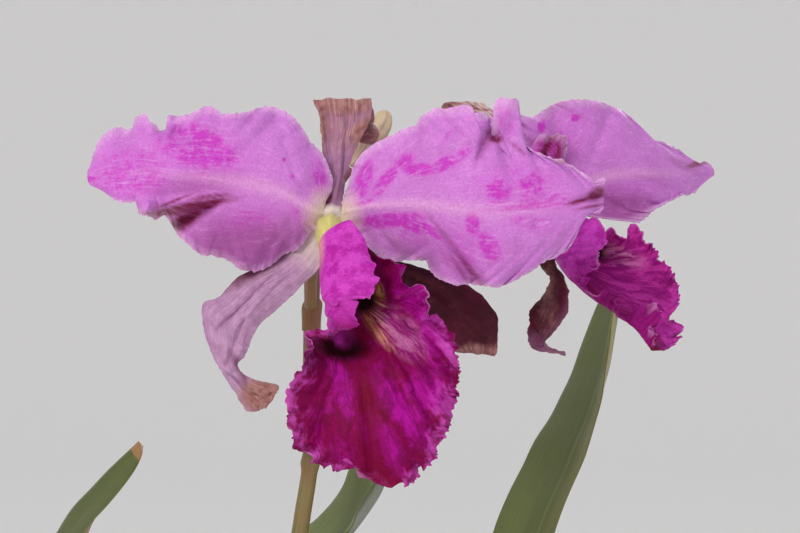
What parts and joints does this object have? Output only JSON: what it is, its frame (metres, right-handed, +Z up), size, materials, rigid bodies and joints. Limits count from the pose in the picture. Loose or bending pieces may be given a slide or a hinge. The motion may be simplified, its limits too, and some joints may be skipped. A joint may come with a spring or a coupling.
{
  "type": "potted cattleya orchid",
  "caption": "Orchid plant with broad ruffled lilac-pink flowers and crimson lips on a stalk above club-shaped bulbs and strap leaves, in bark in a plain tapered clay pot.",
  "frame": {"origin": "middle of the pot's flat underside, on the surface that the pot stands on", "axes": "+Z up along the pot's axis, -Y the side that the nearer flower faces, +X to the viewer's right"},
  "size_m": [0.2986, 0.2314, 0.4091],
  "materials": {
    "clay": "matte",
    "bark": "matte",
    "bulb": "satin",
    "rhizome": "matte",
    "root": "matte",
    "leaf": "satin",
    "stalk": "satin",
    "dry_sheath": "matte",
    "petal": "satin",
    "sepal": "satin",
    "lip": "satin",
    "column": "satin",
    "anther_cap": "satin"
  },
  "bodies": {
    "root": {"pot": "clay", "bark_mix": "bark", "rhizome": "rhizome", "pseudobulb_1": "bulb", "pseudobulb_2": "bulb", "pseudobulb_3": "bulb", "pseudobulb_4": "bulb", "pseudobulb_5": "bulb", "root_1": "root", "root_2": "root", "root_3": "root", "root_4": "root", "leaf_1": "leaf", "leaf_2": "leaf", "leaf_3": "leaf", "leaf_4": "leaf", "leaf_5": "leaf", "peduncle": "stalk", "spathe": "dry_sheath", "dry_bud": "dry_sheath", "ovary_1": "stalk", "ovary_2": "stalk", "left_petal_1": "petal", "right_petal_1": "petal", "dorsal_sepal_1": "sepal", "left_sepal_1": "sepal", "right_sepal_1": "sepal", "lip_1": "lip", "column_1": "column", "anther_cap_1": "anther_cap", "left_petal_2": "petal", "right_petal_2": "petal", "dorsal_sepal_2": "sepal", "left_sepal_2": "sepal", "right_sepal_2": "sepal", "lip_2": "lip", "column_2": "column", "anther_cap_2": "anther_cap"}
  },
  "joints": []
}
